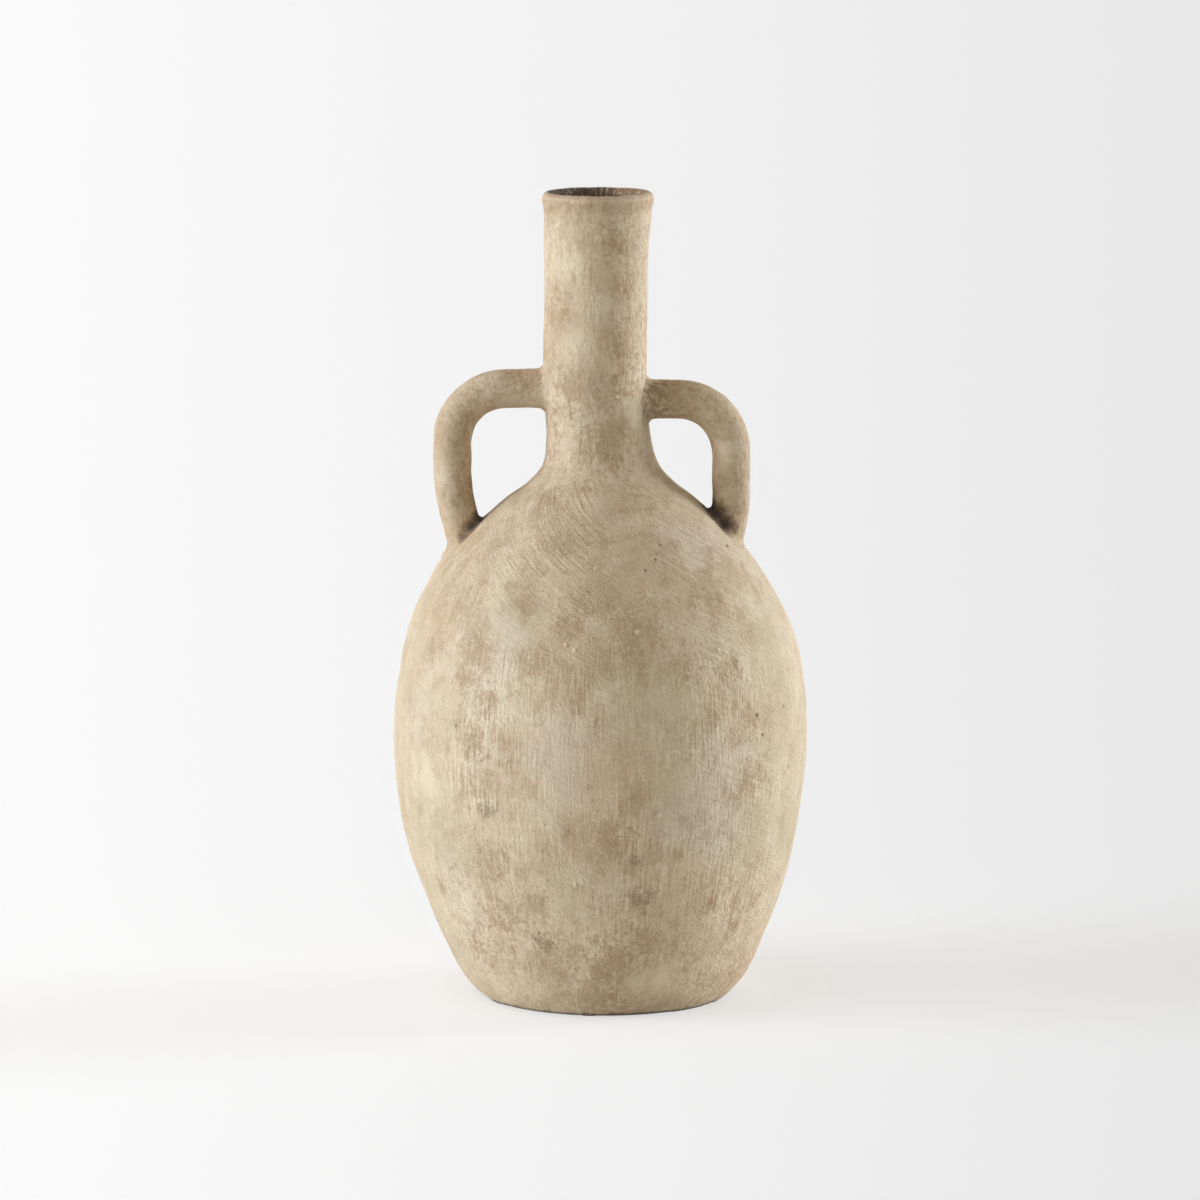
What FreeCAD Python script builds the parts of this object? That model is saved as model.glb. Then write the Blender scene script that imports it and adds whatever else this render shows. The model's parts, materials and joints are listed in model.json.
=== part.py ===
import FreeCAD, Part
import os

# A two-handled earthenware bottle vase, built as a potter builds it: a floor slab, a belly thrown as
# two bowls, a thrown neck, two pulled handles, and a collar of clay pressed round each handle root.
# Millimetres, +Z up. The origin is the centre of the foot's resting face. +X is the viewer's right.

# Driving sizes of the belly
vessel_height = 420.0
girth_radius = 107.8
girth_height = 138.0
wall = 7.0

# The floor slab: the wall stands on its rim, round a low step
foot_radius = 64.5
foot_edge_round = 2.0
slab_thickness = 8.0
slab_radius = 71.3
slab_step = 3.0

# The neck, luted on a little to the left of the belly's axis
neck_seam_height = 282.0
neck_seam_radius = 28.6
neck_radius = 26.7
neck_offset = 2.2
lip_flare = 2.1
bore_radius = 20.5
throat_length = 18.0

# The two luted seams: a V groove and tongue at the girth, and a bevel under the neck
groove_depth = 3.0
bevel_rise = 4.0

# The handles. Each runs out level from the neck at its rise above the neck's seam, turns down at its
# corner, bends in at its knee, and lands on the shoulder after a short straight foot.
handle_thickness = 18.8
handle_depth = 20.5
left_run_rise = 36.2
left_corner_radius = 26.0
left_knee_radius = 100.0
left_knee_angle = 14.0
left_foot_length = 10.0
right_run_rise = 30.6
right_corner_radius = 26.0
right_knee_radius = 80.0
right_knee_angle = 14.0
right_foot_length = 3.0
neck_root_depth = 4.0
shoulder_root_depth = 16.0

# The collars of clay wiped round the handle roots: a hollow curve, with thin lips on rod and wall
neck_collar_round = 3.0
shoulder_collar_round = 3.5
collar_lip = 0.5

# Overrun of a cutting tool past what it cuts, and the nearness that counts as touching
overrun = 6.0
touch = 0.01

# The outline between the named sizes: share of the height, then share of the change in radius
belly_shares = ((0.17, 0.324), (0.36, 0.600), (0.555, 0.812), (0.785, 0.951))
shoulder_shares = (
    (0.1875, 0.024),
    (0.396, 0.107),
    (0.535, 0.222),
    (0.639, 0.347),
    (0.722, 0.474),
    (0.792, 0.606),
    (0.847, 0.737),
    (0.903, 0.873),
    (0.958, 0.969),
)

# The neck's sections: share of its length, of its offset, of its radius and of the lip's flare
neck_shares = (
    (0.09, 0.35, 1.000, 0.0),
    (0.26, 0.98, 0.992, 0.0),
    (0.63, 1.05, 0.992, 0.0),
    (0.85, 0.85, 1.012, 0.1),
    (0.95, 0.75, 1.000, 0.7),
    (1.00, 0.72, 1.000, 1.0),
)

# The rounding of the lip's two edges, as shares of the thickness of its wall
lip_outer_round_share = 0.38
lip_inner_round_share = 0.33

# The heights on the shoulder where the handles land, as shares of its rise from girth to neck
left_landing_share = 0.715
right_landing_share = 0.760

# The handle's thickness where it leaves the neck, where it starts to turn, and at the knee's end
run_thickness_share = 1.09
corner_thickness_share = 1.05
knee_thickness_share = 0.98

UP = FreeCAD.Vector(0, 0, 1)
ACROSS_VIEW = FreeCAD.Vector(1, 0, 0)
INTO_VIEW = FreeCAD.Vector(0, 1, 0)
ORIGIN = FreeCAD.Vector(0, 0, 0)


def at(x, z):
    return FreeCAD.Vector(x, 0, z)


def curve_through(points, start_way, end_way):
    """A smooth curve through the points, with its direction given at both ends."""
    curve = Part.BSplineCurve()
    curve.interpolate(Points=points, InitialTangent=start_way, FinalTangent=end_way)
    return curve


def moved_in(curve, points, distance):
    """The points moved towards the axis, square to an outline that climbs."""
    moved = []
    for place in points:
        way = curve.tangent(curve.parameter(place))[0]
        moved.append(place + FreeCAD.Vector(-way.z, 0, way.x) * distance)
    return moved


def lines(*points):
    return [Part.LineSegment(a, b).toShape() for a, b in zip(points, points[1:])]


def revolved(edges):
    """A solid turned about the vessel's axis from half its section; its seam is at the back."""
    ordered = Part.sortEdges(edges)[0]
    section_face = Part.Face(Part.Wire(ordered)).rotate(ORIGIN, UP, 90)
    return section_face.revolve(ORIGIN, UP, 360)


def ring_wire(centre, radius):
    """A level ring; its start is at the back."""
    return Part.Wire(Part.Circle(centre, UP, radius).toShape().rotate(centre, UP, 90))


# Outline of the lower bowl, from the slab's rim up to the girth
belly_rise = girth_height - slab_thickness
belly_spread = girth_radius - slab_radius
belly_outer_points = (
    [at(slab_radius, slab_thickness)]
    + [at(slab_radius + belly_spread * r, slab_thickness + belly_rise * h) for h, r in belly_shares]
    + [at(girth_radius, girth_height)]
)
foot_way = at(slab_radius - foot_radius, slab_thickness)
belly_outer = curve_through(belly_outer_points, foot_way.normalize(), UP)
belly_inner_points = moved_in(belly_outer, belly_outer_points, wall)
wall_foot = at(slab_radius - wall, slab_thickness)
belly_inner_points[0] = wall_foot
belly_inner = curve_through(belly_inner_points, foot_way, UP)

# Outline of the upper bowl, from the girth up to the neck's seam
shoulder_rise = neck_seam_height - girth_height
shoulder_spread = girth_radius - neck_seam_radius
neck_way = at(neck_radius - neck_seam_radius, throat_length).normalize()
shoulder_outer_points = (
    [at(girth_radius, girth_height)]
    + [at(girth_radius - shoulder_spread * r, girth_height + shoulder_rise * h) for h, r in shoulder_shares]
    + [at(neck_seam_radius, neck_seam_height)]
)
shoulder_outer = curve_through(shoulder_outer_points, UP, neck_way)
shoulder_inner_points = moved_in(shoulder_outer, shoulder_outer_points, wall)
throat = at(neck_seam_radius - wall, neck_seam_height + bevel_rise)
shoulder_inner_points[-1] = throat
shoulder_inner = curve_through(shoulder_inner_points, UP, neck_way)

girth_outside = belly_outer_points[-1]
girth_inside = belly_inner_points[-1]
groove_bottom = at(girth_radius - wall / 2, girth_height - groove_depth)
seam_outside = shoulder_outer_points[-1]


def floor_slab():
    """A flat disc with a flared edge, a rounded foot, and the step that sits inside the wall."""
    centre_top = at(0, slab_thickness + slab_step)
    step_top = at(slab_radius - wall, slab_thickness + slab_step)
    rim = belly_outer_points[0]
    foot = at(foot_radius, 0)
    slab = revolved(lines(ORIGIN, foot, rim, wall_foot, step_top, centre_top, ORIGIN))
    foot_edges = [e for e in slab.Edges if e.BoundBox.ZMax < touch and e.isClosed()]
    return slab.makeFillet(foot_edge_round, foot_edges)


def lower_belly():
    """The lower bowl, standing on the slab, with a V groove in its rim."""
    outside = belly_outer.toShape()
    inside = belly_inner.toShape()
    rim = lines(girth_outside, groove_bottom, girth_inside)
    return revolved([outside, inside] + rim + lines(wall_foot, belly_outer_points[0]))


def upper_belly():
    """The upper bowl, turned over and luted on: its tongue fills the groove, its top is bevelled."""
    outside = shoulder_outer.toShape()
    inside = shoulder_inner.toShape()
    tongue = lines(girth_outside, groove_bottom, girth_inside)
    return revolved([outside, inside] + tongue + lines(seam_outside, throat))


def upper_belly_filled(extra=0):
    """The upper bowl as a full solid, its outside moved out by an extra thickness."""
    points = moved_in(shoulder_outer, shoulder_outer_points, -extra)
    outside = curve_through(points, UP, neck_way).toShape()
    low, high = points[0], points[-1]
    return revolved([outside] + lines(high, at(0, high.z), at(0, low.z), low))


neck_length = vessel_height - neck_seam_height
throat_top = neck_seam_height + bevel_rise + throat_length


def neck_filled(extra=0):
    """The neck as a full solid with an extra thickness, through rings that drift off the axis."""
    rings = [ring_wire(at(0, neck_seam_height), neck_seam_radius + extra)]
    for length, drift, width, flare in neck_shares:
        centre = at(-neck_offset * drift, neck_seam_height + neck_length * length)
        rings.append(ring_wire(centre, neck_radius * width + lip_flare * flare + extra))
    return Part.makeLoft(rings, True)


def neck():
    """The thrown neck: flared root, straight bore, and a rounded lip."""
    body = neck_filled()
    bore_height = vessel_height - throat_top
    bore = Part.makeCylinder(bore_radius, bore_height + overrun, at(-neck_offset, throat_top), UP)
    root_height = throat.z - overrun
    root_rings = [
        ring_wire(at(0, root_height), throat.x),
        ring_wire(throat - at(throat.x, 0), throat.x),
        ring_wire(at(-neck_offset, throat_top), bore_radius),
    ]
    throat_cut = Part.makeLoft(root_rings, True, True)
    bevel_foot = at(0, seam_outside.z)
    bevel = revolved(lines(bevel_foot, seam_outside, throat, at(0, throat.z), bevel_foot))
    body = body.cut([bore, throat_cut, bevel])
    lip_edges = [e for e in body.Edges if e.BoundBox.ZMin > vessel_height - touch]
    inner, outer = sorted(lip_edges, key=lambda edge: edge.Length)
    lip_wall = neck_radius + lip_flare - bore_radius
    body = body.makeFillet(lip_wall * lip_outer_round_share, [outer])
    return body.makeFillet(lip_wall * lip_inner_round_share, [inner])


def section(centre, way, across, depth):
    """An oval of the handle, square to the way it runs; its start stays on the handle's outer side."""
    side = FreeCAD.Vector(-way.z, 0, way.x)
    half_side = side * (across / 2)
    half_depth = INTO_VIEW * (depth / 2)
    frame = FreeCAD.Matrix(
        half_side.x, half_depth.x, way.x, centre.x,
        half_side.y, half_depth.y, way.y, centre.y,
        half_side.z, half_depth.z, way.z, centre.z,
        0, 0, 0, 1,
    )
    unit_circle = Part.Circle(ORIGIN, UP, 1).toShape()
    return Part.Wire(unit_circle.transformGeometry(frame))


def turned(way, degrees):
    """A direction in the XZ plane, turned from +X towards +Z."""
    return FreeCAD.Rotation(INTO_VIEW, -degrees).multVec(way)


def on_shoulder(height_share, side):
    """The point on the shoulder's outline at a share of its height, on the left or the right."""
    level = girth_height + shoulder_rise * height_share
    sight_line = Part.LineSegment(at(0, level), at(girth_radius, level))
    crossing = shoulder_outer.intersect(sight_line)[0]
    return at(side * crossing.X, level)


class Handle:
    """A pulled rod of clay: out from the neck, round a corner, and down to the shoulder."""

    def __init__(self, side, run_rise, corner_radius, knee_radius, knee_angle, foot_length, landing_share):
        self.out = ACROSS_VIEW * side
        down = UP * -1
        self.foot_way = turned(down, -side * knee_angle)
        landing = on_shoulder(landing_share, side)
        self.foot = landing + self.foot_way * shoulder_root_depth
        self.knee_end = landing - self.foot_way * foot_length
        knee_middle = self.knee_end - turned(self.out, -side * knee_angle) * knee_radius
        self.knee_start = knee_middle + self.out * knee_radius
        knee_half_way = knee_middle + turned(self.out, -side * knee_angle / 2) * knee_radius
        run_height = neck_seam_height + run_rise
        self.corner_end = at(self.knee_start.x, run_height - corner_radius)
        corner_middle = self.corner_end - self.out * corner_radius
        self.corner_start = corner_middle + UP * corner_radius
        corner_half_way = corner_middle + turned(UP, -side * 45) * corner_radius
        self.root = at(side * (neck_radius - neck_root_depth) - neck_offset, run_height)
        corner = Part.Arc(self.corner_start, corner_half_way, self.corner_end)
        knee = Part.Arc(self.knee_start, knee_half_way, self.knee_end)
        self.path = Part.Wire(
            lines(self.root, self.corner_start)
            + [corner.toShape()]
            + lines(self.corner_end, self.knee_start)
            + [knee.toShape()]
            + lines(self.knee_end, self.foot)
        )

    def rod(self, extra=0):
        """The whole rod with an extra thickness, both ends run on into the walls."""
        down = UP * -1
        sections = (
            (self.root, self.out, run_thickness_share),
            (self.corner_start, self.out, corner_thickness_share),
            (self.corner_end, down, 1),
            (self.knee_start, down, 1),
            (self.knee_end, self.foot_way, knee_thickness_share),
            (self.foot, self.foot_way, knee_thickness_share),
        )
        pipe = Part.BRepOffsetAPI.MakePipeShell(self.path)
        pipe.setBiNormalMode(INTO_VIEW)
        for centre, way, share in sections:
            across = handle_thickness * share + 2 * extra
            pipe.add(section(centre, way, across, handle_depth + 2 * extra), False, False)
        pipe.build()
        pipe.makeSolid()
        return pipe.shape()


def lies_on(edge, shape):
    """Whether the middle of an edge is on the outside of a shape."""
    middle = Part.Vertex(edge.valueAt((edge.FirstParameter + edge.LastParameter) / 2))
    return any(face.distToShape(middle)[0] < touch for face in shape.Faces)


def collar(handle, wall_filled, collar_round):
    """The ring of clay in the angle between a handle and a wall."""
    rod = handle.rod(collar_lip)
    body = wall_filled(collar_lip)
    joined = rod.fuse(body)
    angle_edges = [e for e in joined.Edges if lies_on(e, rod) and lies_on(e, body)]
    rounded = joined.makeFillet(collar_round, angle_edges)
    reach = collar_lip + collar_round
    ring = rounded.common(handle.rod(reach)).common(wall_filled(reach))
    return ring.cut([handle.rod(), wall_filled()])


def build():
    """Every piece by its node's name."""
    pieces = {
        "floor_slab": floor_slab(),
        "lower_belly": lower_belly(),
        "upper_belly": upper_belly(),
        "neck": neck(),
    }
    handles = {
        "left": Handle(
            -1, left_run_rise, left_corner_radius, left_knee_radius, left_knee_angle,
            left_foot_length, left_landing_share,
        ),
        "right": Handle(
            1, right_run_rise, right_corner_radius, right_knee_radius, right_knee_angle,
            right_foot_length, right_landing_share,
        ),
    }
    for name, handle in handles.items():
        pieces[name + "_handle"] = handle.rod().cut([neck_filled(), upper_belly_filled()])
        pieces[name + "_neck_collar"] = collar(handle, neck_filled, neck_collar_round)
        pieces[name + "_shoulder_collar"] = collar(handle, upper_belly_filled, shoulder_collar_round)
    return pieces


os.makedirs("parts", exist_ok=True)
for name, shape in build().items():
    (solid,) = shape.Solids
    solid.exportStep(os.path.join("parts", name + ".step"))
    print(name, "valid", solid.isValid(), "volume cm3", round(solid.Volume / 1000, 2))
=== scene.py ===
import json
import math

import bpy
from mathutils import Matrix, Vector
from mathutils.kdtree import KDTree

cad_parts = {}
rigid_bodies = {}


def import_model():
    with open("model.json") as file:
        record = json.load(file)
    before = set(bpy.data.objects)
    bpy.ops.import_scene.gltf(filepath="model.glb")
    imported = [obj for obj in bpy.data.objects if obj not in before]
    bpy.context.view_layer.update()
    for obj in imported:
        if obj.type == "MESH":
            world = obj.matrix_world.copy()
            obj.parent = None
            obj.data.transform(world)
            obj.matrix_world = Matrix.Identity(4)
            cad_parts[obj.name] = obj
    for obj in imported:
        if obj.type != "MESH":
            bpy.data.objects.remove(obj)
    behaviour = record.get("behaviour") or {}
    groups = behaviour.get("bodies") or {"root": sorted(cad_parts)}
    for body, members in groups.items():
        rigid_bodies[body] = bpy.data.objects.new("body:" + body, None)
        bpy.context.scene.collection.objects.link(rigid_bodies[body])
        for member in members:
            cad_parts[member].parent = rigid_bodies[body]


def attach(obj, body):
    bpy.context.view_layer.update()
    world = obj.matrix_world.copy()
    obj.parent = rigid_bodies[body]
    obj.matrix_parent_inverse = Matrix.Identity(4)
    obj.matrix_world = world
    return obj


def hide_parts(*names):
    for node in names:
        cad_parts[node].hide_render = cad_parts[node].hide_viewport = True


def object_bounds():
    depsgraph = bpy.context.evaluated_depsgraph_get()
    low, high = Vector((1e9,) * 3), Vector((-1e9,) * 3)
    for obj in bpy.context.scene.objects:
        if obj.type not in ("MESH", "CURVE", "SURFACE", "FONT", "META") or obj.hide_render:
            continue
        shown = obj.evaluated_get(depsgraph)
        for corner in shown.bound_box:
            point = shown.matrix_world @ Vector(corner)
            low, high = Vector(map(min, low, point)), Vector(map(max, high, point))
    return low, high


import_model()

cad_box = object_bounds()

# The thrown skin
# The outside of the pot, from under the foot, up over the belly and neck, and over the lip into the bore.
# The belly and the neck are thrown in coarse earthenware, luted together when leather hard, and wiped and
# brushed as one. So the whole skin is turned here once, and the pieces below are cut from it.
skin_profile = [
    (0.0, 0.0), (0.040, 0.0), (0.0600, 0.0), (0.0636, 0.0004), (0.0656, 0.0020), (0.0683, 0.0045),
    (0.0744, 0.0120), (0.0832, 0.0300), (0.0930, 0.0550), (0.1008, 0.0800), (0.1058, 0.1100),
    (0.1074, 0.1380), (0.1056, 0.1650), (0.0990, 0.1950), (0.0894, 0.2150), (0.0797, 0.2300),
    (0.0655, 0.2455), (0.0495, 0.2600), (0.0385, 0.2685), (0.0302, 0.2780), (0.0272, 0.2900),
    (0.0267, 0.3100), (0.0268, 0.3350), (0.0266, 0.3600), (0.0268, 0.3850), (0.0274, 0.4030),
    (0.0279, 0.4110), (0.0286, 0.4156), (0.0281, 0.4183), (0.0262, 0.4196), (0.0240, 0.4191),
    (0.0221, 0.4162), (0.0211, 0.4110), (0.0207, 0.4050),
]
# How far the wheel-thrown form leans to the right, at every 30 mm of its height
lean_every_30_mm = [
    0.0024, 0.0018, 0.0012, 0.0000, 0.0001, 0.0004, 0.0005, -0.0007,
    -0.0006, 0.0005, -0.0013, -0.0025, -0.0021, -0.0018, -0.0010,
]
skin_facets = 576
skin_spacing = 0.00105
pot_height = round(cad_box[1][2], 3)
lean_cage_width = 0.24


def drawn_line(name, points, spacing):
    """A smooth open line in the XZ plane through the points, with vertices about one spacing apart."""
    bpy.ops.object.select_all(action="DESELECT")
    bpy.ops.curve.primitive_bezier_curve_add(location=(0, 0, 0))
    line = bpy.context.object
    line.name = name
    knots = line.data.splines[0].bezier_points
    knots.add(len(points) - len(knots))
    for knot, (radius, height, *corner) in zip(knots, points):
        knot.co = (radius, 0, height)
        knot.handle_left_type = "VECTOR" if corner else "AUTO"
        knot.handle_right_type = "VECTOR" if corner else "AUTO"
    line.data.resolution_u = 40
    bpy.ops.object.convert(target="MESH")
    bpy.ops.object.mode_set(mode="EDIT")
    bpy.ops.mesh.select_all(action="SELECT")
    bpy.ops.mesh.remove_doubles(threshold=spacing)
    bpy.ops.object.mode_set(mode="OBJECT")
    return line


def finished(piece, kind, **settings):
    """Adds one modifier to a piece and applies it."""
    bpy.ops.object.select_all(action="DESELECT")
    bpy.context.view_layer.objects.active = piece
    piece.select_set(True)
    modifier = piece.modifiers.new(kind.lower(), kind)
    for setting, value in settings.items():
        setattr(modifier, setting, value)
    bpy.ops.object.modifier_apply(modifier=modifier.name)


def turned(line, facets):
    """Turns a line about the wheel's axis into a skin."""
    finished(line, "SCREW", angle=2 * math.pi, steps=facets, render_steps=facets, axis="Z",
             use_merge_vertices=True, merge_threshold=0.00001)
    bpy.ops.object.mode_set(mode="EDIT")
    bpy.ops.mesh.select_all(action="SELECT")
    bpy.ops.mesh.remove_doubles(threshold=0.00001)
    bpy.ops.mesh.normals_make_consistent(inside=False)
    bpy.ops.object.mode_set(mode="OBJECT")
    return line


bpy.ops.object.select_all(action="DESELECT")
bpy.ops.object.add(type="LATTICE", location=(0, 0, pot_height / 2))
lean = bpy.context.object
lean.name = "lean"
lean.scale = (lean_cage_width, lean_cage_width, pot_height)
lean.data.points_u = 2
lean.data.points_v = 2
lean.data.points_w = len(lean_every_30_mm)
lean.data.interpolation_type_w = "KEY_CATMULL_ROM"
points_a_level = lean.data.points_u * lean.data.points_v
for index, point in enumerate(lean.data.points):
    point.co_deform.x += lean_every_30_mm[index // points_a_level] / lean.scale.x

skin = turned(drawn_line("skin", skin_profile, skin_spacing), skin_facets)
finished(skin, "LATTICE", object=lean)

swell = bpy.data.textures.new("swell", "CLOUDS")
swell.noise_scale = 0.045
swell.noise_depth = 1
dents = bpy.data.textures.new("dents", "CLOUDS")
dents.noise_scale = 0.011
dents.noise_depth = 2
finished(skin, "DISPLACE", texture=swell, texture_coords="LOCAL", strength=0.0007, mid_level=0.5)
finished(skin, "DISPLACE", texture=dents, texture_coords="LOCAL", strength=0.0006, mid_level=0.5)

# The foot rests flat
foot_level = 0.0002
bpy.ops.object.mode_set(mode="EDIT")
bpy.ops.mesh.select_mode(type="VERT")
bpy.ops.mesh.select_all(action="DESELECT")
bpy.ops.object.mode_set(mode="OBJECT")
for vertex in skin.data.vertices:
    vertex.select = vertex.co.z < 2 * foot_level
bpy.ops.object.mode_set(mode="EDIT")
bpy.ops.transform.resize(value=(1, 1, 0), center_override=(0, 0, foot_level))
bpy.ops.object.mode_set(mode="OBJECT")


def nearest_to(piece, places):
    """Opens a piece for editing with only its vertices nearest to the places selected."""
    tree = KDTree(len(piece.data.vertices))
    for vertex in piece.data.vertices:
        tree.insert(vertex.co, vertex.index)
    tree.balance()
    bpy.ops.object.mode_set(mode="EDIT")
    bpy.ops.mesh.select_mode(type="VERT")
    bpy.ops.mesh.select_all(action="DESELECT")
    bpy.ops.object.mode_set(mode="OBJECT")
    for place in places:
        piece.data.vertices[tree.find(place)[1]].select = True
    bpy.ops.object.mode_set(mode="EDIT")


def raised(piece, places, height, reach, cuts=0, rings=3):
    """Raises the skin at the places, or presses it in, over a round spot of that reach."""
    if cuts:
        nearest_to(piece, places)
        for ring in range(rings):
            bpy.ops.mesh.select_more()
        bpy.ops.mesh.subdivide(number_cuts=cuts)
        bpy.ops.object.mode_set(mode="OBJECT")
    nearest_to(piece, places)
    bpy.ops.transform.shrink_fatten(value=height, use_proportional_edit=True, proportional_size=reach,
                                    proportional_edit_falloff="SMOOTH")
    bpy.ops.object.mode_set(mode="OBJECT")


# Clay wiped down below the left handle, and a lump under the slip on the right of the shoulder
raised(skin, [(-0.0836, -0.004, 0.2260)], height=0.0010, reach=0.016)
raised(skin, [(0.0860, -0.006, 0.2215)], height=0.0008, reach=0.006)
# Furrows that a finger and a stiff brush left in the damp clay, each from one end to the other
furrows = [
    ((0.0700, -0.0539, 0.2163), (0.0762, -0.0528, 0.2079)),
    ((0.0568, -0.0842, 0.1829), (0.0690, -0.0788, 0.1681)),
    ((0.0700, -0.0780, 0.1690), (0.0780, -0.0717, 0.1581)),
    ((0.0656, -0.0749, 0.1917), (0.0682, -0.0752, 0.1835)),
    ((0.0178, -0.0969, 0.0727), (0.0209, -0.0937, 0.0654)),
    ((-0.0771, -0.0580, 0.0662), (-0.0714, -0.0626, 0.0613)),
    ((-0.0713, -0.0457, 0.0338), (-0.0629, -0.0537, 0.0291)),
    ((0.0162, -0.1021, 0.0970), (0.0203, -0.1003, 0.0905)),
    ((0.0000, -0.0270, 0.2907), (0.0082, -0.0263, 0.2880)),
    ((0.0082, -0.0263, 0.2880), (0.0092, -0.0281, 0.2799)),
]
furrow_steps = 16
furrow_line = [
    Vector(first).lerp(Vector(last), number / furrow_steps)
    for first, last in furrows for number in range(furrow_steps + 1)
]
raised(skin, furrow_line, height=-0.0007, reach=0.0024)
# Grit that stands out of the slip, and the pits that it left where it came out
grit = [
    (0.0598, -0.0793, 0.1932), (0.0935, -0.0499, 0.1593), (0.0965, -0.0455, 0.1275),
    (0.0299, -0.1014, 0.1123), (-0.0127, -0.0976, 0.1961), (-0.0168, -0.0957, 0.1986),
    (0.0191, -0.0925, 0.2045), (-0.0019, -0.0755, 0.2344), (-0.0122, -0.0987, 0.0762),
    (-0.0571, -0.0884, 0.1665), (-0.0939, -0.0379, 0.1849), (0.0092, -0.0248, 0.3163),
    (0.0620, 0.0860, 0.1510), (-0.0410, 0.0960, 0.1120), (-0.0880, 0.0420, 0.1820),
    (0.0240, 0.0930, 0.2010),
]
pits = [
    (-0.0732, -0.0769, 0.1539), (0.0797, -0.0697, 0.1583), (0.0822, -0.0680, 0.1480),
    (0.0837, -0.0142, 0.2219), (0.0231, -0.0730, 0.2333), (0.0306, -0.0588, 0.2444),
    (0.0280, -0.0668, 0.2378), (0.0654, -0.0277, 0.2394), (-0.0304, -0.0218, 0.2698),
    (0.0211, -0.0185, 0.2865), (0.0136, -0.0669, 0.0062), (0.0102, -0.0672, 0.0055),
    (-0.0710, 0.0760, 0.1650), (0.0330, 0.0990, 0.0930), (0.0850, 0.0600, 0.1700),
]
raised(skin, grit, height=0.0009, reach=0.0018, cuts=3)
raised(skin, pits, height=-0.0009, reach=0.0012, cuts=3)


def copied(source, name):
    """A copy of a piece with its own mesh, the only one selected."""
    bpy.ops.object.select_all(action="DESELECT")
    piece = source.copy()
    piece.data = source.data.copy()
    piece.name = name
    bpy.context.scene.collection.objects.link(piece)
    bpy.context.view_layer.objects.active = piece
    piece.select_set(True)
    return piece


def cut_level(piece, height, keep, closed=False):
    """Cuts a piece level at a height and keeps what is above or below."""
    bpy.ops.object.mode_set(mode="EDIT")
    bpy.ops.mesh.select_all(action="SELECT")
    bpy.ops.mesh.bisect(plane_co=(0, 0, height), plane_no=(0, 0, 1), use_fill=closed,
                        clear_inner=keep == "above", clear_outer=keep == "below")
    bpy.ops.object.mode_set(mode="OBJECT")


def joined(piece, other):
    """Joins another mesh into a piece."""
    bpy.ops.object.select_all(action="DESELECT")
    bpy.context.view_layer.objects.active = piece
    piece.select_set(True)
    other.select_set(True)
    bpy.ops.object.join()


def rims_bridged(piece, low, high, slack=0.001):
    """Bridges the two open rims of a piece, one at the low height and one at the high one."""
    bpy.ops.object.mode_set(mode="EDIT")
    bpy.ops.mesh.select_mode(type="EDGE")
    bpy.ops.mesh.select_all(action="DESELECT")
    bpy.ops.mesh.select_non_manifold()
    bpy.ops.object.mode_set(mode="OBJECT")
    heights = [vertex.co.z for vertex in piece.data.vertices]
    for edge in piece.data.edges:
        if edge.select and not low - slack < heights[edge.vertices[0]] < high + slack:
            edge.select = False
    bpy.ops.object.mode_set(mode="EDIT")
    bpy.ops.mesh.bridge_edge_loops()
    bpy.ops.mesh.select_all(action="SELECT")
    bpy.ops.mesh.normals_make_consistent(inside=False)
    bpy.ops.object.mode_set(mode="OBJECT")


def lined(piece, inside, seams):
    """Turns a piece's inner wall, with the seams it is luted on, and closes the piece with it."""
    liner_spacing = 0.0024
    liner_facets = 144
    liner = turned(drawn_line("liner", inside, liner_spacing), liner_facets)
    finished(liner, "LATTICE", object=lean)
    joined(piece, liner)
    for low, high in seams:
        rims_bridged(piece, low, high)


# The finish of the clay
# Low-fired earthenware under thin pale slips, brushed down the belly, slantwise over the shoulder and down
# the neck. Brown was rubbed over them while damp, and it stays in the grain and the pits. The corners under
# the handles carry painted shade.
pale_slip = (0.667, 0.543, 0.372, 1)
cream = (0.800, 0.688, 0.500, 1)
chalk = (0.728, 0.628, 0.490, 1)
rosy = (0.592, 0.417, 0.260, 1)
olive = (0.528, 0.438, 0.270, 1)
brown = (0.398, 0.261, 0.147, 1)
umber = (0.200, 0.128, 0.074, 1)
# The near-black below is used only for painted shade: in the corners under the handles, inside the mouth and
# along the foot's edge
shade_black = (0.040, 0.032, 0.030, 1)
clay = bpy.data.materials.new("brushed_clay")
clay.use_nodes = True


def added(tree, kind, sockets, **settings):
    """Adds one node to a finish. A socket gets a value or is linked to another node."""
    made = tree.nodes.new("ShaderNode" + kind)
    for setting, value in settings.items():
        setattr(made, setting, value)
    for socket, value in sockets.items():
        if isinstance(value, bpy.types.NodeSocket):
            tree.links.new(value, made.inputs[socket])
        else:
            made.inputs[socket].default_value = value
    return made


def step(kind, sockets, **settings):
    return added(clay.node_tree, kind, sockets, **settings)


def worked(operation, first, second=0.0):
    return step("Math", {0: first, 1: second}, operation=operation).outputs[0]


def stretched(place, across, along, offset=(0, 0, 0)):
    """The place on a pattern that is drawn out along Z."""
    return step("Mapping", {"Vector": place, "Scale": (across, across, along), "Location": offset}).outputs[0]


def cloud(place, scale, detail, roughness=0.5, distortion=0.0):
    return step("TexNoise", {"Vector": place, "Scale": scale, "Detail": detail, "Roughness": roughness,
                             "Distortion": distortion}).outputs["Fac"]


def between(value, low, high):
    """0 at the low value, 1 at the high one, and smooth between them."""
    return step("MapRange", {"Value": value, "From Min": low, "From Max": high},
                interpolation_type="SMOOTHSTEP").outputs[0]


def covered(colour, overlay, amount):
    return step("Mix", {0: amount, 6: colour, 7: overlay}, data_type="RGBA").outputs[2]


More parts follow.
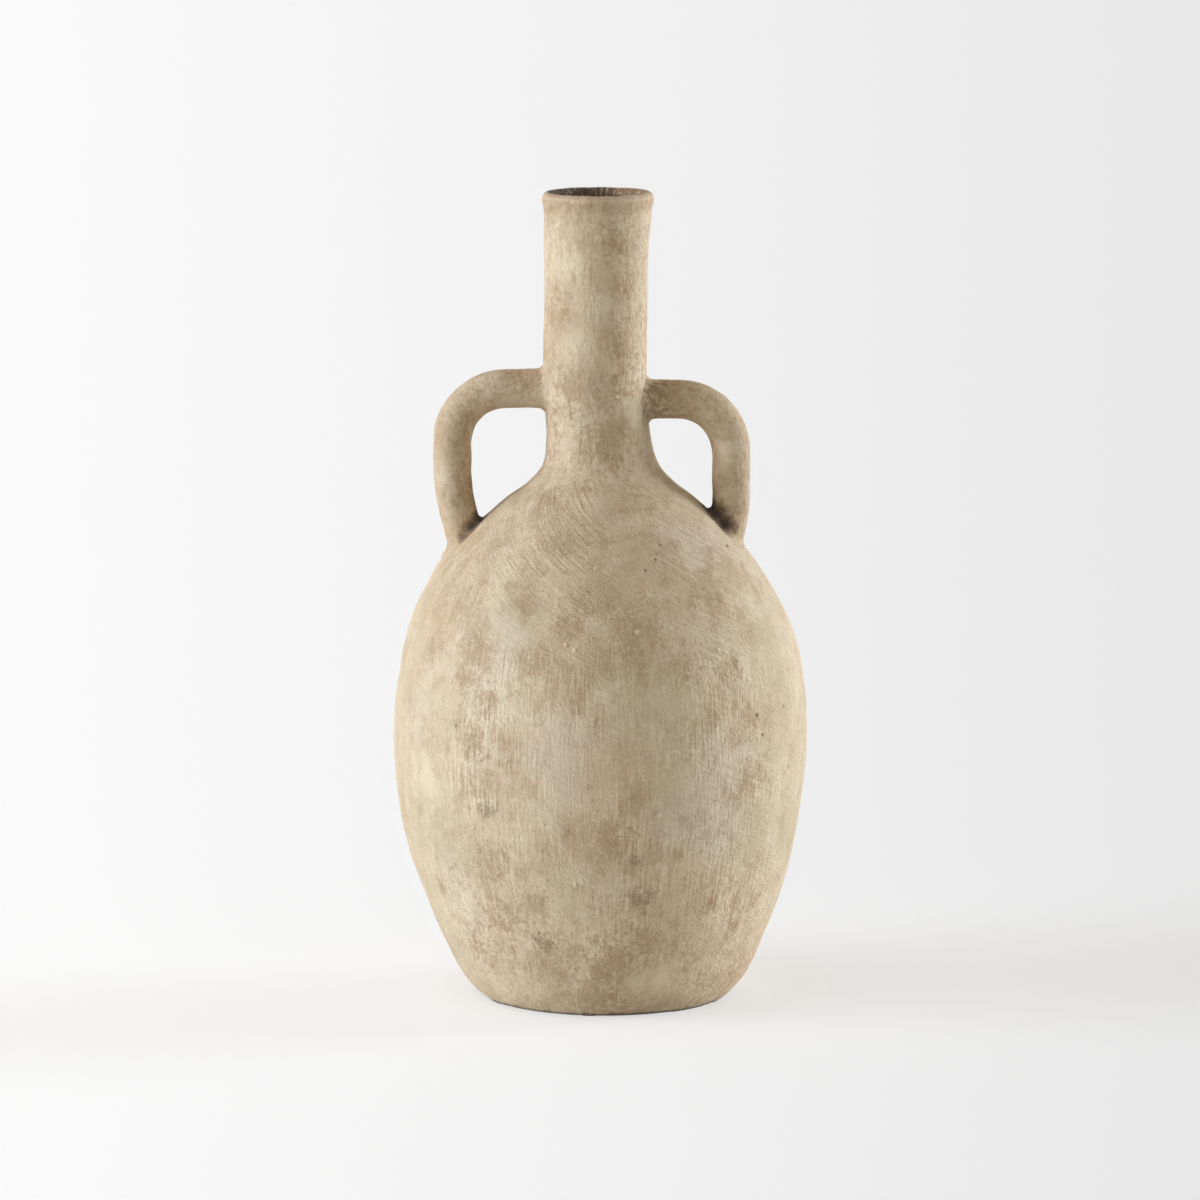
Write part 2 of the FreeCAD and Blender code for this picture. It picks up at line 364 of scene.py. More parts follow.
def nearest(spots, ragged):
    """How far a place is from the nearest of the spots, as a share of that spot's reach, and ragged."""
    least = 9.0  # farther than any spot's edge
    for centre, reach in spots:
        away = step("VectorMath", {0: place, 1: centre}, operation="DISTANCE").outputs["Value"]
        least = worked("MINIMUM", least, worked("DIVIDE", away, reach))
    return worked("ADD", least, ragged)


place = step("TexCoord", {}).outputs["Object"]
height = step("SeparateXYZ", {0: place}).outputs["Z"]
sideways = step("SeparateXYZ", {0: place}).outputs["X"]
level = step("VectorMath", {0: place, 1: (1, 1, 0)}, operation="MULTIPLY").outputs[0]
outward = step("VectorMath", {0: level}, operation="NORMALIZE").outputs[0]
girth = step("VectorMath", {0: outward, "Scale": 0.1}, operation="SCALE").outputs[0]
upward = step("VectorMath", {0: place, 1: (0, 0, 1)}, operation="MULTIPLY").outputs[0]
round_pot = step("VectorMath", {0: girth, 1: upward}, operation="ADD").outputs[0]
twist = worked("MULTIPLY", height, 20.0)
slant = step("VectorRotate", {"Vector": round_pot, "Axis": (0, 0, 1), "Angle": twist},
             rotation_type="AXIS_ANGLE").outputs[0]
broad = cloud(place, 14, 3)
ragged_height = worked("ADD", height, worked("MULTIPLY", worked("SUBTRACT", broad, 0.5), 0.09))

# The bristle marks
down_belly = cloud(stretched(round_pot, 1, 0.085), 840, 3, 0.6, 0.2)
over_shoulder = cloud(stretched(slant, 1, 0.150), 800, 3, 0.6, 0.4)
down_neck = cloud(stretched(place, 1, 0.18), 800, 3, 0.6, 0.2)
pulled = step("Attribute", {}, attribute_name="pulled").outputs["Fac"]
on_shoulder = worked("MULTIPLY", between(ragged_height, 0.180, 0.206), between(sideways, -0.082, -0.040))
on_shoulder = worked("MULTIPLY", on_shoulder, between(cloud(place, 24, 3, 0.6), 0.38, 0.56))
on_neck = worked("MAXIMUM", between(height, 0.256, 0.284), pulled)
bristles = step("Mix", {0: on_shoulder, 2: down_belly, 3: over_shoulder}).outputs[0]
bristles = step("Mix", {0: on_neck, 2: bristles, 3: down_neck}).outputs[0]
fine = cloud(place, 720, 3, 0.6)
mottle = cloud(place, 300, 5, 0.65)
near_foot = between(ragged_height, 0.085, 0.045)
unstroked = worked("ADD", 0.42, worked("MULTIPLY", worked("MAXIMUM", on_neck, near_foot), 0.28))
unstroked = worked("ADD", unstroked, worked("MULTIPLY", on_shoulder, 0.14))
worn = step("Mix", {0: unstroked, 2: bristles, 3: mottle}).outputs[0]
pressed_on = worked("ADD", 0.30, worked("MULTIPLY", between(cloud(place, 26, 3), 0.40, 0.66), 0.60))
pressed_on = worked("MULTIPLY", pressed_on, worked("SUBTRACT", 1.0, worked("MULTIPLY", on_shoulder, 0.50)))
pressed_on = worked("ADD", pressed_on, worked("MULTIPLY", on_neck, 0.40))
calm = worked("SUBTRACT", 1.0, worked("MULTIPLY", between(worked("ABSOLUTE", sideways), 0.066, 0.096), 0.45))
pressed_on = worked("MULTIPLY", pressed_on, calm)
grain = worked("MULTIPLY", worked("SUBTRACT", worn, 0.5), pressed_on)

# The slips and the brown
colour = covered(pale_slip, rosy, worked("MULTIPLY", between(broad, 0.48, 0.64), 0.45))
colour = covered(colour, olive, worked("MULTIPLY", between(broad, 0.50, 0.34), 0.60))
chalky = cloud(stretched(place, 1, 0.8, (0.7, 0.2, 0.1)), 19, 4, 0.5)
chalky = worked("ADD", chalky, worked("MULTIPLY", grain, 0.3))
colour = covered(colour, chalk, worked("MULTIPLY", between(chalky, 0.52, 0.68), 0.45))
wiped = cloud(stretched(place, 1, 0.7, (0.3, 0.1, 0.2)), 34, 5, 0.55, 0.3)
wiped = worked("ADD", wiped, worked("MULTIPLY", grain, 0.5))
colour = covered(colour, cream, worked("MULTIPLY", between(wiped, 0.50, 0.70), 0.50))
blots = cloud(stretched(place, 1, 0.9), 40, 8, 0.66, 0.4)
blots = worked("SUBTRACT", blots, worked("MULTIPLY", grain, 0.7))
blots = worked("MULTIPLY", between(blots, 0.47, 0.70), calm)
colour = covered(colour, brown, worked("MULTIPLY", blots, 0.60))
patches = worked("ADD", cloud(place, 105, 7, 0.68), worked("MULTIPLY", grain, 0.3))
low_patches = worked("MULTIPLY", between(patches, 0.49, 0.33), calm)
high_patches = worked("MULTIPLY", between(patches, 0.53, 0.68), calm)
colour = covered(colour, brown, worked("MULTIPLY", low_patches, 0.50))
colour = covered(colour, cream, worked("MULTIPLY", high_patches, 0.42))
colour = covered(colour, brown, worked("MULTIPLY", between(grain, 0.03, -0.13), 0.42))
colour = covered(colour, cream, worked("MULTIPLY", between(grain, 0.00, 0.14), 0.40))
colour = covered(colour, umber, worked("MULTIPLY", between(fine, 0.46, 0.28), 0.22))
colour = covered(colour, cream, worked("MULTIPLY", between(fine, 0.53, 0.72), 0.36))
colour = covered(colour, brown, worked("MULTIPLY", between(ragged_height, 0.070, 0.005), 0.08))
colour = covered(colour, brown, worked("MULTIPLY", between(ragged_height, 0.185, 0.260), 0.15))
colour = covered(colour, brown, worked("MULTIPLY", pulled, 0.16))

# Places where the brown stayed thicker, or where the slip was rubbed thinner or left thicker. Brown and umber
# spots at the right handle beside the neck are painted shade.
edges = cloud(stretched(round_pot, 1, 0.8), 150, 8, 0.78, 0.3)
edges = worked("MULTIPLY", worked("SUBTRACT", edges, 0.5), 5.2)
edges = worked("ADD", edges, worked("MULTIPLY", grain, 2.6))
edges = worked("ADD", edges, worked("MULTIPLY", worked("SUBTRACT", fine, 0.5), 2.4))
rubbed_brown_and_run_shade = [
    ((-0.0855, -0.0522, 0.1891), 0.007), ((-0.0615, -0.0781, 0.1932), 0.010),
    ((-0.0401, -0.0784, 0.2169), 0.008), ((-0.0314, -0.0950, 0.1892), 0.009),
    ((-0.0671, -0.0776, 0.1777), 0.009), ((-0.0563, -0.0883, 0.1686), 0.008),
    ((-0.0635, -0.0857, 0.1476), 0.009), ((-0.0167, -0.0912, 0.2081), 0.009),
    ((-0.0081, -0.0874, 0.2173), 0.008), ((0.0192, -0.0929, 0.2033), 0.018),
    ((0.0430, -0.0907, 0.1885), 0.009), ((0.0775, -0.0725, 0.1567), 0.006),
    ((0.0797, -0.0710, 0.1275), 0.010), ((0.0056, -0.1036, 0.0983), 0.009),
    ((-0.0550, -0.0846, 0.0817), 0.010), ((-0.0346, -0.0893, 0.0640), 0.010),
    ((-0.0276, -0.0800, 0.0340), 0.009), ((0.0219, -0.0862, 0.0447), 0.010),
    ((-0.0814, -0.0517, 0.0660), 0.006), ((-0.0649, -0.0545, 0.0340), 0.006),
    ((0.0799, -0.0506, 0.0600), 0.006), ((0.0368, -0.0794, 0.0412), 0.009),
    ((0.0668, -0.0599, 0.0466), 0.006), ((-0.0204, -0.0627, 0.2449), 0.010),
    ((0.0051, -0.0265, 0.2942), 0.014), ((-0.0015, -0.0264, 0.3175), 0.011),
    ((0.0100, -0.0240, 0.3420), 0.009), ((0.0110, -0.0240, 0.3720), 0.008),
    # The second spot on the next line lies on the right handle's run beside the neck, and is painted shade
    ((0.0100, -0.0240, 0.3950), 0.008), ((0.0380, -0.0090, 0.3140), 0.014),
    ((-0.0205, -0.0185, 0.3570), 0.010), ((-0.0130, -0.0240, 0.3200), 0.012),
    ((0.0080, -0.0270, 0.3000), 0.010), ((-0.0380, -0.0830, 0.2120), 0.007),
    ((-0.0250, -0.0230, 0.3080), 0.008), ((0.0720, -0.0579, 0.2086), 0.005),
    ((0.0677, -0.0754, 0.1840), 0.006), ((-0.0250, -0.0780, 0.0330), 0.016),
    ((0.0080, -0.0830, 0.0330), 0.015), ((-0.0050, -0.0740, 0.0140), 0.014),
    ((-0.0480, -0.0760, 0.0520), 0.012),
]
rubbed_rosy = [
    ((-0.0200, -0.0980, 0.2000), 0.016), ((0.0050, -0.1060, 0.1350), 0.018),
    ((-0.0030, -0.1030, 0.1000), 0.012), ((0.0120, -0.0800, 0.2250), 0.012),
]
smudges_and_root_shade = [
    ((0.0198, -0.0950, 0.0682), 0.0075), ((0.0170, -0.1005, 0.0890), 0.0035),
    ((-0.0559, -0.0898, 0.1122), 0.0045), ((-0.0301, -0.0832, 0.0435), 0.0060),
    # The two spots on the next line, at the right handle's root on the neck, are painted shade
    ((0.0275, -0.0060, 0.3190), 0.0080), ((0.0285, -0.0080, 0.3070), 0.0080),
]
left_thick = [((-0.0202, -0.1053, 0.1413), 0.024), ((-0.0480, -0.0850, 0.2050), 0.018)]
left_olive = [
    ((0.0290, -0.1000, 0.1680), 0.030), ((0.0330, -0.0980, 0.1250), 0.020),
    ((0.0100, -0.0860, 0.2180), 0.016),
]
wiped_pale = [
    ((0.0187, -0.0758, 0.0206), 0.0075), ((0.0303, -0.0732, 0.0227), 0.0060),
    ((0.0, -0.0266, 0.3629), 0.0120), ((-0.0275, -0.0080, 0.3180), 0.0075),
    ((-0.0120, -0.0235, 0.3450), 0.0120), ((-0.0140, -0.0230, 0.3850), 0.0120),
    ((0.0760, -0.0500, 0.2150), 0.0100), ((-0.0898, -0.0572, 0.1224), 0.0150),
    ((0.0680, -0.0570, 0.0750), 0.0100), ((0.0664, -0.0090, 0.2870), 0.0085),
    ((-0.0790, -0.0080, 0.2720), 0.0060), ((0.0190, -0.0180, 0.3050), 0.0070),
]
for spots, overlay, strength in (
        (left_thick, chalk, 0.50), (left_olive, olive, 0.38), (wiped_pale, cream, 0.55),
        (rubbed_rosy, rosy, 0.50), (rubbed_brown_and_run_shade, brown, 0.55), (smudges_and_root_shade, umber, 0.45)):
    reached = between(nearest(spots, edges), 1.30, 0.15)
    colour = covered(colour, overlay, worked("MULTIPLY", reached, strength))

# The corners under the handles are painted nearly black, as painted shade in the crevices where the handles
# meet the shoulder
shaded_corners = [
    ((0.0560, -0.0010, 0.2560), 0.0034), ((0.0582, -0.0015, 0.2543), 0.0052),
    ((0.0612, -0.0042, 0.2515), 0.0058), ((0.0640, -0.0078, 0.2475), 0.0048),
    ((-0.0620, -0.0010, 0.2495), 0.0034), ((-0.0640, -0.0028, 0.2476), 0.0052),
    ((-0.0662, -0.0062, 0.2446), 0.0046), ((-0.0690, -0.0092, 0.2405), 0.0030),
]
painted_corner_shade = nearest(shaded_corners, worked("MULTIPLY", edges, 0.22))
colour = covered(colour, umber, worked("MULTIPLY", between(painted_corner_shade, 1.9, 1.1), 0.75))
colour = covered(colour, shade_black, worked("MULTIPLY", between(painted_corner_shade, 1.35, 0.60), 0.90))

# The grit is painted pale on top: pale grit, with a painted highlight on each nub. The brown fills the pits
grit_size = 0.0012
pit_size = 0.0009
grit_and_highlight = nearest([(centre, grit_size) for centre in grit], worked("MULTIPLY", edges, 0.18))
colour = covered(colour, cream, worked("MULTIPLY", between(grit_and_highlight, 1.3, 0.60), 0.70))
filled_pits = nearest([(centre, pit_size) for centre in pits], worked("MULTIPLY", edges, 0.25))
colour = covered(colour, umber, worked("MULTIPLY", between(filled_pits, 1.3, 0.50), 0.45))

# A little brown came over the rim, and a thin cream band along the lip's outer edge is a painted highlight.
# The mouth is painted dark inside, brown clay under painted shade, deepest on the left
neck_axis = (-0.0019, 0, 0)
lip_axis = (-0.0010, 0, 0)
rim_height = worked("ADD", height, worked("MULTIPLY", edges, 0.0006))
colour = covered(colour, brown, worked("MULTIPLY", between(rim_height, 0.4085, 0.4130), 0.35))
# Painted highlight: the cream band along the lip's outer edge
colour = covered(colour, cream, worked("MULTIPLY", between(rim_height, 0.4160, 0.4172), 0.22))
colour = covered(colour, umber, worked("MULTIPLY", between(rim_height, 0.4174, 0.4188), 0.25))
bore = step("VectorMath", {0: level, 1: neck_axis}, operation="DISTANCE").outputs["Value"]
across = worked("ADD", sideways, worked("MULTIPLY", edges, 0.006))
inside_mouth = worked("MULTIPLY", between(bore, 0.0260, 0.0243), between(height, 0.300, 0.330))
lip = step("VectorMath", {0: level, 1: lip_axis}, operation="DISTANCE").outputs["Value"]
on_the_lip = worked("MULTIPLY", between(lip, 0.0264, 0.0248), between(height, 0.4172, 0.4184))
inside_mouth = worked("MAXIMUM", inside_mouth, worked("MULTIPLY", on_the_lip, 0.80))
flecks = cloud(place, 420, 4, 0.7)
colour = covered(colour, brown, worked("MULTIPLY", inside_mouth, 0.85))
# The umber and near-black over the mouth are painted shade, deepest on the left
colour = covered(colour, umber, worked("MULTIPLY", inside_mouth, between(edges, 0.80, -0.40)))
shaded_left_of_mouth = worked("MULTIPLY", inside_mouth, between(across, 0.012, -0.006))
colour = covered(colour, shade_black, worked("MULTIPLY", shaded_left_of_mouth, 0.72))
flecks = worked("MULTIPLY", inside_mouth, between(flecks, 0.53, 0.70))
colour = covered(colour, cream, worked("MULTIPLY", flecks, 0.50))

# Along the bottom of the foot a thin near-black band is painted shadow, where the foot meets the floor
contact_shadow_height = worked("ADD", height, worked("MULTIPLY", edges, 0.0008))
colour = covered(colour, shade_black, worked("MULTIPLY", between(contact_shadow_height, 0.0028, 0.0006), 0.75))

# The relief that is too fine for the mesh
relief = worked("ADD", worked("MULTIPLY", worn, 0.75), worked("MULTIPLY", fine, 0.60))
ripples = cloud(stretched(slant, 1, 0.45, (0.4, 0.2, 0.1)), 150, 3)
ripples = step("Mix", {0: on_neck, 2: ripples, 3: cloud(stretched(place, 1, 0.3), 170, 3)}).outputs[0]
ripple_share = worked("ADD", 0.55, worked("MULTIPLY", on_shoulder, 0.45))
relief = worked("ADD", relief, worked("MULTIPLY", ripples, ripple_share))
bump = step("Bump", {"Height": relief, "Strength": 1.0, "Distance": 0.0013})
fired = clay.node_tree.nodes["Principled BSDF"]
fired.inputs["Roughness"].default_value = 0.92
fired.inputs["Specular IOR Level"].default_value = 0.25
clay.node_tree.links.new(colour, fired.inputs["Base Color"])
clay.node_tree.links.new(bump.outputs[0], fired.inputs["Normal"])


def dressed(piece, *nodes):
    """Gives a finished piece its smooth shading and clay, and its place in the frame."""
    bpy.ops.object.select_all(action="DESELECT")
    bpy.context.view_layer.objects.active = piece
    piece.select_set(True)
    bpy.ops.object.shade_smooth_by_angle(angle=math.radians(45))
    piece.data.materials.clear()
    piece.data.materials.append(clay)
    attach(piece, "root")
    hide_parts(*nodes)


# The floor slab
# A flat disc of clay under the belly. Its rounded edge is the vessel's foot, and the low step on its top
# stands inside the lower bowl.
slab_thickness = 0.008
step_radius = 0.0643
step_top = 0.0110
floor_slab = copied(skin, "foot_slab")
cut_level(floor_slab, slab_thickness, "below")
slab_top = [
    (step_radius, slab_thickness, "corner"), (step_radius, step_top, "corner"),
    (0.0400, step_top), (0.0, step_top),
]
lined(floor_slab, slab_top, [(slab_thickness, slab_thickness)])
dressed(floor_slab, "floor_slab")

# The lower bowl
# Thrown upright on the wheel and stood on the slab. A V groove in its rim takes the upper bowl.
girth_height = 0.1380
groove_bottom = 0.1350
groove_side = [(0.1043, groove_bottom, "corner"), (0.1008, girth_height, "corner")]
lower_bowl = copied(skin, "lower_bowl")
cut_level(lower_bowl, slab_thickness, "above")
cut_level(lower_bowl, girth_height, "below")
lower_inside = [
    *groove_side, (0.1000, 0.1200), (0.0976, 0.1000), (0.0937, 0.0800), (0.0877, 0.0600), (0.0796, 0.0400),
    (0.0715, 0.0200), (0.0645, slab_thickness),
]
lined(lower_bowl, lower_inside, [(slab_thickness, slab_thickness), (groove_bottom, girth_height)])
dressed(lower_bowl, "lower_belly")

# The upper bowl
# Thrown as a second bowl, turned over, and luted into the groove with slip. Its small end is bevelled
# for the neck.
neck_seam = 0.2820
bevel_top = 0.2860
bevel_radius = 0.0216
upper_bowl = copied(skin, "upper_bowl")
cut_level(upper_bowl, girth_height, "above")
cut_level(upper_bowl, neck_seam, "below")
upper_inside = [
    *groove_side, (0.0995, 0.1600), (0.0962, 0.1800), (0.0899, 0.2000), (0.0821, 0.2150), (0.0714, 0.2300),
    (0.0572, 0.2450), (0.0443, 0.2550), (0.0316, 0.2650), (0.0237, 0.2750), (bevel_radius, bevel_top),
]
lined(upper_bowl, upper_inside, [(groove_bottom, girth_height), (neck_seam, bevel_top)])
dressed(upper_bowl, "upper_belly")

# The neck
# Thrown as a straight tube with a rounded, slightly flared lip, and luted on a little left of the
# belly's axis.
bore_radius = 0.0205
bore_top = 0.4020
lip_end = skin_profile[-1][1]
neck = copied(skin, "neck_tube")
cut_level(neck, neck_seam, "above")
neck_inside = [
    (bevel_radius, bevel_top, "corner"), (bore_radius, 0.3040), (bore_radius, 0.3500), (0.0206, bore_top),
]
lined(neck, neck_inside, [(neck_seam, bevel_top), (bore_top, lip_end)])
dressed(neck, "neck")
bpy.data.objects.remove(skin)

# The handles and their collars
# Two rods of clay pulled by hand, bent, and luted to the neck and the shoulder. A little soft clay is
# pressed round each root as a collar and wiped out onto the wall.
wall_spacing = 0.0025
wall_facets = 192
below_the_roots = 0.205
above_the_roots = 0.355
rough_wall = turned(drawn_line("rough_wall", skin_profile, wall_spacing), wall_facets)
finished(rough_wall, "LATTICE", object=lean)
cut_level(rough_wall, below_the_roots, "above", closed=True)
cut_level(rough_wall, above_the_roots, "below", closed=True)


def thickened(source, name, by):
    """A copy of a closed shape, grown or shrunk all over."""
    shape = copied(source, name)
    finished(shape, "DISPLACE", strength=by, mid_level=0)
    return shape


def cut(piece, cutter, operation):
    finished(piece, "BOOLEAN", object=cutter, operation=operation, solver="EXACT")


def ball(name, x, z, radius):
    """A ball of soft clay in the plane of the handles."""
    bpy.ops.object.select_all(action="DESELECT")
    bpy.ops.mesh.primitive_uv_sphere_add(segments=24, ring_count=16, radius=radius, location=(x, 0, z))
    lump = bpy.context.object
    lump.name = name
    bpy.ops.object.transform_apply(location=True, rotation=True, scale=True)
    return lump


def pulled_rod(name, side, neck_x, run_height, reach, corner_radius, knee_height, knee_radius, knee_turn,
               foot_length, thickness, depth):
    """The rod, from inside the neck's wall, round its corner and its knee, into the shoulder's wall."""
    corner_x = side * (reach - corner_radius)
    corner_z = run_height - corner_radius
    turn = math.radians(knee_turn)
    swollen = 1.07
    thinned = 0.97
    bpy.ops.object.select_all(action="DESELECT")
    bpy.ops.mesh.primitive_circle_add(vertices=48, radius=0.5, fill_type="NGON",
                                      location=(neck_x, 0, run_height),
                                      rotation=(0, math.radians(90 * side), 0))
    rod = bpy.context.object
    rod.name = name
    bpy.ops.object.transform_apply(location=True, rotation=True, scale=True)
    bpy.ops.object.mode_set(mode="EDIT")
    bpy.ops.mesh.select_mode(type="FACE")
    bpy.ops.mesh.select_all(action="SELECT")
    bpy.ops.transform.resize(value=(1, depth, thickness * swollen), center_override=(neck_x, 0, run_height))
    bpy.ops.mesh.extrude_region_move(TRANSFORM_OT_translate={"value": (corner_x - neck_x, 0, 0)})
    bpy.ops.transform.resize(value=(1, 1, thinned), center_override=(corner_x, 0, run_height))
    bpy.ops.mesh.spin(steps=10, angle=math.radians(90 * side), axis=(0, -1, 0),
                      center=(corner_x, 0, corner_z))
    bpy.ops.transform.resize(value=(thinned, 1, 1), center_override=(side * reach, 0, corner_z))
    bpy.ops.mesh.extrude_region_move(TRANSFORM_OT_translate={"value": (0, 0, knee_height - corner_z)})
    bpy.ops.mesh.spin(steps=4, angle=turn * side, axis=(0, -1, 0),
                      center=(side * (reach - knee_radius), 0, knee_height))
    bpy.ops.mesh.extrude_region_move(TRANSFORM_OT_translate={
        "value": (-side * foot_length * math.sin(turn), 0, -foot_length * math.cos(turn))})
    bpy.ops.mesh.select_all(action="SELECT")
    bpy.ops.mesh.normals_make_consistent(inside=False)
    bpy.ops.object.mode_set(mode="OBJECT")
    return rod


def luted_handle(name, rod, pressed):
    """Wipes the rod's roots and the clay pressed on into collars, and parts the collars from the rod."""
    wiped_steps = ((0.0037, -0.0003), (0.0023, 0.0005), (0.0011, 0.0012))
    root_depth = 0.0040
    collar_depth = 0.0035
    core_gap = 0.0008
    deep = thickened(rough_wall, "deep", -root_depth)
    clay_rod = copied(rod, name)
    for wide, proud in wiped_steps:
        flange = thickened(rod, "flange", wide)
        bed = thickened(rough_wall, "bed", proud)
        cut(flange, bed, "INTERSECT")
        bpy.data.objects.remove(bed)
        joined(clay_rod, flange)
    for soft in pressed:
        joined(clay_rod, soft)
    finished(clay_rod, "REMESH", mode="VOXEL", voxel_size=0.0009)
    cut(clay_rod, deep, "DIFFERENCE")
    finished(clay_rod, "SMOOTH", factor=0.5, iterations=12)
    finished(clay_rod, "DISPLACE", texture=swell, texture_coords="LOCAL", strength=0.0010, mid_level=0.5)
    finished(clay_rod, "DISPLACE", texture=dents, texture_coords="LOCAL", strength=0.0007, mid_level=0.5)
    ring = thickened(rough_wall, "ring", collar_depth)
    core = thickened(rod, "core", -core_gap)
    cut(ring, core, "DIFFERENCE")
    collars = copied(clay_rod, name + "_collars")
    cut(collars, ring, "INTERSECT")
    cut(clay_rod, ring, "DIFFERENCE")
    for tool in (deep, ring, core, rod):
        bpy.data.objects.remove(tool)
    bpy.ops.object.select_all(action="DESELECT")
    bpy.context.view_layer.objects.active = collars
    collars.select_set(True)
    bpy.ops.object.mode_set(mode="EDIT")
    bpy.ops.mesh.select_all(action="SELECT")
    bpy.ops.mesh.separate(type="LOOSE")
    bpy.ops.object.mode_set(mode="OBJECT")
    loose = sorted(bpy.context.selected_objects, key=lambda part: len(part.data.vertices), reverse=True)
    for crumb in loose[2:]:
        bpy.data.objects.remove(crumb)
    shoulder_collar, neck_collar = sorted(loose[:2], key=lambda part: part.data.vertices[0].co.z)
    shoulder_collar.name = name + "_shoulder_ring"
    neck_collar.name = name + "_neck_ring"
    return clay_rod, neck_collar, shoulder_collar


def handle_dressed(pieces, nodes):
    """Marks a handle's pieces as pulled clay, which is brushed along its length, and dresses them."""
    for piece, node in zip(pieces, nodes):
        pulled_clay = piece.data.attributes.new("pulled", "FLOAT", "POINT")
        pulled_clay.data.foreach_set("value", [1.0] * len(piece.data.vertices))
        dressed(piece, node)


left_rod = pulled_rod("left_rod", -1, neck_x=-0.0250, run_height=0.3178, reach=0.0764, corner_radius=0.0275,
                      knee_height=0.2770, knee_radius=0.090, knee_turn=14.5, foot_length=0.026,
                      thickness=0.0192, depth=0.0205)
left_pressed = [ball("left_outer", -0.0752, 0.2345, 0.0046), ball("left_lower", -0.0782, 0.2290, 0.0046)]
handle_dressed(luted_handle("left_pull", left_rod, left_pressed),
               ("left_handle", "left_neck_collar", "left_shoulder_collar"))
right_rod = pulled_rod("right_rod", 1, neck_x=0.0205, run_height=0.3123, reach=0.0680, corner_radius=0.0275,
                       knee_height=0.2630, knee_radius=0.080, knee_turn=14, foot_length=0.016,
                       thickness=0.0195, depth=0.0205)
right_pressed = [ball("right_outer", 0.0706, 0.2368, 0.0042)]
handle_dressed(luted_handle("right_pull", right_rod, right_pressed),
               ("right_handle", "right_neck_collar", "right_shoulder_collar"))
bpy.data.objects.remove(rough_wall)
bpy.data.objects.remove(lean)

# The floor
# A sheet of white paper that runs away behind the vessel. To the camera it glows as bright as it would in a
# white studio, and the glow is painted light, brighter on the left.
camera_distance = 3.4
view_edge = 0.0907
floor_size = 60
bpy.ops.object.select_all(action="DESELECT")
bpy.ops.mesh.primitive_plane_add(size=floor_size, location=(0, 0, 0))
floor = bpy.context.object
floor.name = "floor"
paper = bpy.data.materials.new("paper")
paper.use_nodes = True
white = paper.node_tree.nodes["Principled BSDF"]
white.inputs["Base Color"].default_value = (0.90, 0.90, 0.88, 1)
white.inputs["Roughness"].default_value = 1.0
white.inputs["Specular IOR Level"].default_value = 0.0
spot = added(paper.node_tree, "TexCoord", {}).outputs["Object"]
spot = added(paper.node_tree, "SeparateXYZ", {0: spot})
depth = added(paper.node_tree, "Math", {0: spot.outputs["Y"], 1: camera_distance}, operation="ADD").outputs[0]
depth = added(paper.node_tree, "Math", {0: depth, 1: 1.0}, operation="MAXIMUM").outputs[0]
off_axis = added(paper.node_tree, "Math", {0: spot.outputs["X"], 1: depth}, operation="DIVIDE").outputs[0]
# The glow is painted light, brighter on the left
glow_brighter_left = added(paper.node_tree, "MapRange",
                   {"Value": off_axis, "From Min": -view_edge, "From Max": view_edge,
                    "To Min": 0.634, "To Max": 0.481}).outputs[0]
glow = added(paper.node_tree, "Emission", {"Strength": glow_brighter_left})
shaded = added(paper.node_tree, "BsdfDiffuse", {"Color": (0.426, 0.420, 0.411, 1)})
lit = added(paper.node_tree, "AddShader", {0: shaded.outputs[0], 1: glow.outputs[0]})


def seen_rays(tree):
    """1 for the rays that show a surface to the camera, and 0 for those that only carry its light."""
    rays = added(tree, "LightPath", {})
    seen = rays.outputs["Is Camera Ray"]
    for kind in ("Is Glossy Ray", "Is Transmission Ray"):
        seen = added(tree, "Math", {0: seen, 1: rays.outputs[kind]},
                     operation="ADD", use_clamp=True).outputs[0]
    return seen


shown = added(paper.node_tree, "MixShader",
              {"Fac": seen_rays(paper.node_tree), 1: white.outputs[0], 2: lit.outputs[0]})
paper.node_tree.links.new(shown.outputs[0], paper.node_tree.nodes["Material Output"].inputs["Surface"])
floor.data.materials.append(paper)

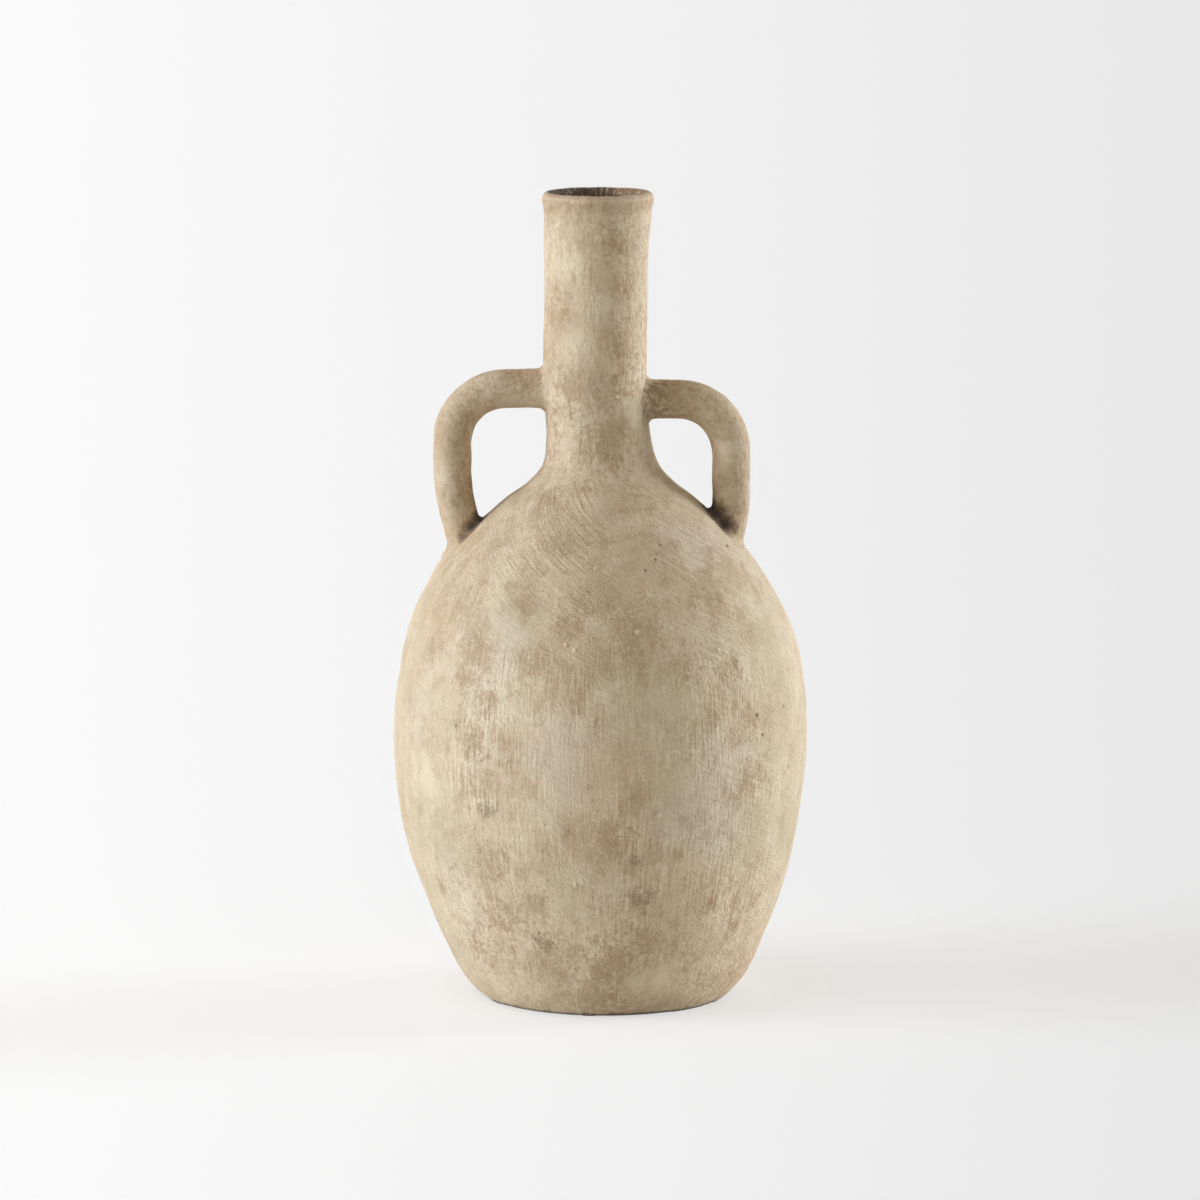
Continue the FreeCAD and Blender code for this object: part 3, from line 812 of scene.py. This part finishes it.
# The light
# Two large soft lamps stand low at the vessel's sides, the left one a little to the front and the right one
# a little behind. A third hangs high on the left, and the room fills in between them.
lamps = (
    ("left_lamp", -80, 2.5, 4.9, 50),
    ("right_lamp", 107, 2.0, 5.35, 34),
    ("high_lamp", -50, 70, 0.40, 32),
)
for lamp_name, bearing, rise, strength, spread in lamps:
    lamp = bpy.data.lights.new(lamp_name, "SUN")
    lamp.energy = strength
    lamp.color = (0.925, 1.0, 1.14)
    lamp.angle = math.radians(spread)
    lamp_object = bpy.data.objects.new(lamp_name, lamp)
    turn, lift = math.radians(bearing), math.radians(rise)
    towards = Vector((math.sin(turn) * math.cos(lift), -math.cos(turn) * math.cos(lift), math.sin(lift)))
    lamp_object.rotation_euler = towards.to_track_quat("Z", "Y").to_euler()
    lamp_object.location = towards * 2
    bpy.context.scene.collection.objects.link(lamp_object)
world = bpy.data.worlds.new("studio")
bpy.context.scene.world = world
world.use_nodes = True
direction = added(world.node_tree, "TexCoord", {}).outputs["Generated"]
direction = added(world.node_tree, "SeparateXYZ", {0: direction}).outputs["Z"]
overhead = added(world.node_tree, "MapRange", {"Value": direction, "From Min": 0.0, "From Max": 1.0,
                                               "To Min": 0.285, "To Max": 0.35}).outputs[0]
room = world.node_tree.nodes["Background"]
room.inputs["Color"].default_value = (1.085, 1.0, 0.865, 1)
world.node_tree.links.new(overhead, room.inputs["Strength"])
backdrop = added(world.node_tree, "Background", {"Color": (0.89, 0.89, 0.89, 1)})
studio = added(world.node_tree, "MixShader",
               {"Fac": seen_rays(world.node_tree), 1: room.outputs[0], 2: backdrop.outputs[0]})
world.node_tree.links.new(studio.outputs[0], world.node_tree.nodes["World Output"].inputs["Surface"])

# The camera
# It stands 3.4 m in front of the pot and 0.3 m above the lip, and looks down at the belly, so that the lip
# shows as a thin ellipse.
camera_height = 0.720
camera_tilt = 8.578
camera = bpy.data.cameras.new("camera")
camera.lens = 198.56
camera.sensor_width = 36
camera_object = bpy.data.objects.new("camera", camera)
camera_object.location = (0, -camera_distance, camera_height)
camera_object.rotation_euler = (math.radians(90 - camera_tilt), 0, 0)
bpy.context.scene.collection.objects.link(camera_object)
bpy.context.scene.camera = camera_object
bpy.context.scene.view_settings.view_transform = "Standard"
